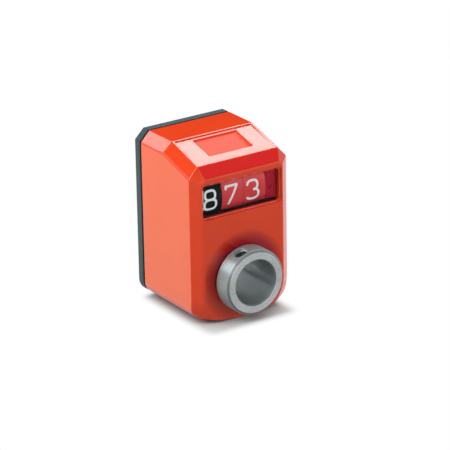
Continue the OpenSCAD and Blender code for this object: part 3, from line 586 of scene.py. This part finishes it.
# painted light: the print glows a little, though it is no lamp
PRINT = moulded("white_print", [(0.8, 0.82, 0.82), (0.87, 0.88, 0.88)], rough=(0.4, 0.55), grain_size=0.1,
                grain_depth=0.003, drift_size=1.5, Specular_IOR_Level=0.1, Emission_Color=(0.9, 1, 1, 1),
                Emission_Strength=0.2)
STEEL = moulded("plain_steel", [(0.5, 0.5, 0.5), (0.56, 0.56, 0.57)], rough=(0.24, 0.34), grain_size=0.25,
                grain_depth=0.003, drift_size=1.5, Metallic=1.0)
DARK_STEEL = moulded("blackened_steel", [(0.16, 0.16, 0.165), (0.22, 0.22, 0.225)], rough=(0.35, 0.5),
                     grain_size=0.25, grain_depth=0.004, drift_size=1.5, Metallic=1.0)
# painted light and shade: a lighter end face and bore as painted light, a darker chamfer as painted shade
TURNED = turned("turned_steel", [(0.325, 0.39, 0.405), (0.405, 0.47, 0.485)], rough=(0.4, 0.5), line_size=0.09,
                line_depth=0.006, painted_fields=[((0.8, 0.83, 0.84), END_FACE), ((0.24, 0.27, 0.28), END_CHAMFER),
                                          ((0.56, 0.6, 0.61), BORE)],
                Metallic=0.55, Anisotropic=0.9, Anisotropic_Rotation=0.25)
PANE = clear_pane()

# painted shade: a dark dot on the blade for the shade in a pin hole
spot(SHADED_RED, BLADE_HOLE_SHADE, radius=0.3, colour=(0.1, 0.004, 0.012))
even_field(ORANGE, NAME_FIELD, rough=0.6)
even_field(TURNED, BORE, rough=0.2)

FINISHES = {
    ORANGE: ["front_case"], SLATE: ["rear_base"], PANE: ["window_pane"], BLACK: ["hundreds_wheel"],
    RED: ["units_wheel", "tens_wheel"], SHADED_RED: ["counter_frame"], RUBBER: ["rear_gasket", "front_seal"],
    IVORY: ["crown_gear", "cluster_gear", "idler_gear", "units_drive_gear", "tens_carry_pinion",
            "hundreds_carry_pinion"],
    STEEL: ["counter_axle", "axle_clips", "tens_carrier", "hundreds_carrier", "tens_pinion_pin",
            "hundreds_pinion_pin", "cluster_pin", "idler_pin", "retaining_ring"],
    DARK_STEEL: ["grub_screw"],
    TURNED: ["drive_bush"],
}
for finish, names in FINISHES.items():
    for name in names:
        nodes[name].data.materials.clear()
        nodes[name].data.materials.append(finish)


# Pieces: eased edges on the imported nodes, then the new ones

def soften(name, width, angle=10, rings=2, merge=5e-6, plane=0.5):
    """Merges a node's loose triangles, joins those that lie in one plane and rounds the sharp edges by a small
    width in millimetres. Angles are in degrees, the merging distance is in metres."""
    weld = nodes[name].modifiers.new("merge", "WELD")
    weld.merge_threshold = merge
    join = nodes[name].modifiers.new("whole_faces", "DECIMATE")
    join.decimate_type = "DISSOLVE"
    join.angle_limit = math.radians(plane)
    edge = nodes[name].modifiers.new("soft_edges", "BEVEL")
    edge.width = width * MM
    edge.segments = rings
    edge.limit_method = "ANGLE"
    edge.angle_limit = math.radians(angle)
    edge.use_clamp_overlap = False
    even_out = nodes[name].modifiers.new("flat_faces", "WEIGHTED_NORMAL")
    even_out.keep_sharp = False
    even_out.weight = 100


soften("front_case", width=0.14)
soften("rear_base", width=0.18)
soften("drive_bush", width=0.08)

for body in ("units", "tens", "hundreds"):
    numerals(body, PRINT)
hole_thread(TURNED)
# the blade takes the red plastic in painted shade
side_blade(SHADED_RED)
# painted shadow: a dark strip behind the window's lower edge, where the wheels lie in shade
window_shade_strip(SHADE)


# Floor, world, lights and camera

PART_MIDDLE = Vector((0, -0.012, 0.008))        # where lamps and cards are turned to, in metres
FOOT_MIDDLE = (-0.0006, -0.0135, 0)             # the middle of its footprint on the floor, in metres
FOOT_HALF = (0.009, 0.0115, 1)                  # half the footprint's width and depth; the height never counts
WHITE = (1, 1, 1, 1)


def white_rays(tree):
    """One for rays from the camera and for those in gloss and glass, which then see the white background."""
    rays = put(tree, "LightPath")
    seen = math_node(tree, "MAXIMUM", rays.outputs["Is Camera Ray"], rays.outputs["Is Glossy Ray"])
    return math_node(tree, "MAXIMUM", seen, rays.outputs["Is Transmission Ray"])


def floor_finish(reach=0.02, power=1.6, share=0.68, shade_end=0.0002, white_start=0.0038):
    """Pale matt floor: near the part, the seen rays add a share of white that falls with what the part hides of
    the open air, a painted contact shadow, and away from its footprint they see plain white. Lengths are in metres."""
    m, tree, shader = blank("pale_floor", Roughness=0.9, Specular_IOR_Level=0.0, Base_Color=(0.4, 0.4, 0.4, 1))
    seen = white_rays(tree)
    # painted shadow: the floor's white glow fades where the part hides the open air
    open_air = put(tree, "AmbientOcclusion", {"Distance": reach}, samples=16).outputs["AO"]
    level = math_node(tree, "MULTIPLY", math_node(tree, "POWER", open_air, power), share)
    glow = put(tree, "Emission", {"Color": WHITE, "Strength": math_node(tree, "MULTIPLY", seen, level)})
    near = put(tree, "AddShader", {0: shader.outputs[0], 1: glow.outputs[0]})
    from_middle = vector_node(tree, "ABSOLUTE", vector_node(tree, "SUBTRACT", own_place(tree), FOOT_MIDDLE))
    beyond = vector_node(tree, "SUBTRACT", from_middle, FOOT_HALF)
    away = vector_value(tree, "LENGTH", vector_node(tree, "MAXIMUM", beyond, (0, 0, 0)))
    far = ramp(tree, away, shade_end, white_start, "SMOOTHSTEP")
    white = put(tree, "Emission", {"Color": WHITE, "Strength": 1.0})
    both = put(tree, "MixShader", {0: math_node(tree, "MULTIPLY", seen, far), 1: near.outputs[0],
                                   2: white.outputs[0]})
    tree.links.new(both.outputs[0], tree.nodes["Material Output"].inputs["Surface"])
    return m


def pale_floor(sides=96):
    """A flat round floor: a fan of rings about its middle, with radii in millimetres."""
    turn = np.linspace(0, 2 * math.pi, sides, endpoint=False)
    radii = np.array([0, 60, 200, 700, 2500.0])[:, None]
    x, y = radii * np.cos(turn), radii * np.sin(turn)
    points, faces = skin(np.stack([x, y, np.full_like(x, FLOOR_Z)], -1), around=True, along=False)
    floor = new_object("floor", new_mesh("floor", points * MM, faces, floor_finish()))


def studio_world(level):
    """Even grey light of the given level, white for the seen rays."""
    world = bpy.data.worlds.new("studio")
    world.use_nodes = True
    bpy.context.scene.world = world
    tree = world.node_tree
    tree.nodes.clear()
    dim = put(tree, "Background", {"Color": WHITE, "Strength": level})
    white = put(tree, "Background", {"Color": WHITE, "Strength": 1.0})
    both = put(tree, "MixShader", {0: white_rays(tree), 1: dim.outputs[0], 2: white.outputs[0]})
    tree.links.new(both.outputs[0], put(tree, "OutputWorld").inputs["Surface"])


def facing(direction, distance):
    """Matrix at that distance in metres from the part's middle, with -Z towards it."""
    way = Vector(direction).normalized()
    return Matrix.Translation(PART_MIDDLE + way * distance) @ way.to_track_quat("Z", "Y").to_matrix().to_4x4()


def lying(x, y, lift=0.2):
    """Matrix of a place just above the floor, in millimetres."""
    return Matrix.Translation((x * MM, y * MM, (FLOOR_Z + lift) * MM))


def softbox(name, direction, distance, size, watts, gloss=True):
    """A rectangular lamp turned to the part, with its distance and size in metres; gloss says whether gloss
    mirrors it."""
    lamp = bpy.data.lights.new(name, "AREA")
    lamp.shape = "RECTANGLE"
    lamp.size, lamp.size_y = size
    lamp.energy = watts
    obj = new_object(name, lamp)
    obj.matrix_world = facing(direction, distance)
    obj.visible_glossy = gloss


def card(name, place, size, level, colour=(1, 1, 1)):
    """A card that only gloss sees, dark, grey or bright, as a studio uses them to steer reflections: a flat grid of
    one face, with its size in metres."""
    m, tree, _ = blank(name)
    glow = put(tree, "Emission", {"Color": (*colour, 1), "Strength": level})
    tree.links.new(glow.outputs[0], tree.nodes["Material Output"].inputs["Surface"])
    u, v = np.meshgrid(np.linspace(-0.5, 0.5, 2) * size[0], np.linspace(-0.5, 0.5, 2) * size[1])
    points, faces = skin(np.stack([u, v, 0 * u], -1), around=False, along=False)
    mesh = new_mesh(name, points, faces, m)
    mesh.transform(place)
    sheet = new_object(name, mesh)
    sheet.visible_camera = sheet.visible_diffuse = sheet.visible_shadow = sheet.visible_transmission = False


def photo_camera(azimuth, elevation, roll, aim, reach, focal, sensor=36.0):
    """Camera at the photograph's viewing angle: it looks at the aim from a distance, both in millimetres, and is
    rolled about its own axis. The angles are in radians."""
    back = Vector((math.sin(azimuth) * math.cos(elevation), -math.cos(azimuth) * math.cos(elevation),
                   math.sin(elevation)))
    right = (-back).cross(Vector((0, 0, 1))).normalized()
    up = right.cross(-back)
    across = right * math.cos(roll) + up * math.sin(roll)
    upward = up * math.cos(roll) - right * math.sin(roll)
    lens = bpy.data.cameras.new("camera")
    lens.sensor_width, lens.lens = sensor, focal
    lens.clip_start, lens.clip_end = 0.01, 10.0
    camera = new_object("camera", lens)
    turn = Matrix((across, upward, back)).transposed().to_4x4()
    camera.matrix_world = Matrix.Translation(Vector(aim) * MM + back * (reach * MM)) @ turn
    bpy.context.scene.camera = camera


pale_floor()
studio_world(level=0.16)

# Lamps: the way from the part, distance, size and watts
softbox("key", (-0.78, 0.05, 0.62), 0.26, (0.14, 0.14), 0.54)
softbox("overhead", (0.5, 0.42, 0.76), 0.6, (0.33, 0.33), 2.15)
softbox("front", (0.05, -0.8, 0.6), 0.13, (0.06, 0.06), 0.022, gloss=False)
softbox("fill", (0.55, -0.82, 0.15), 0.3, (0.2, 0.1), 0.24, gloss=False)

# Cards: place, size, level and colour
card("dark_behind", facing((0.5, 0.8, 0.33), 0.7), (0.6, 0.34), 0.0)
card("dark_front", facing((0.45, -0.7, 0.5), 0.7), (0.7, 0.5), 0.0)
card("dark_left", facing((-0.58, 0.4, 0.71), 0.7), (0.3, 0.3), 0.0)
card("dark_camera", facing((-0.47, -0.63, 0.62), 0.7), (0.4, 0.4), 0.0)
card("grey_front", lying(35, -112), (0.26, 0.18), 0.4)
card("bright_left", lying(-62, 44), (0.096, 0.13), 1.8, (1, 1, 0.72))
card("bright_right", lying(70, 10), (0.1, 0.06), 1.4)
card("bright_rear", facing((-0.38, 0.77, 0.51), 0.6), (0.2, 0.16), 4.5)
card("streak", facing((-0.6, 0.76, 0.27), 0.6), (0.1, 0.12), 6.0)

photo_camera(azimuth=math.radians(-33.802), elevation=math.radians(21.466), roll=-0.0176,
             aim=(2.1178, -12.3, 8.0284), reach=603.84, focal=225.05)
bpy.context.scene.view_settings.view_transform = "Standard"
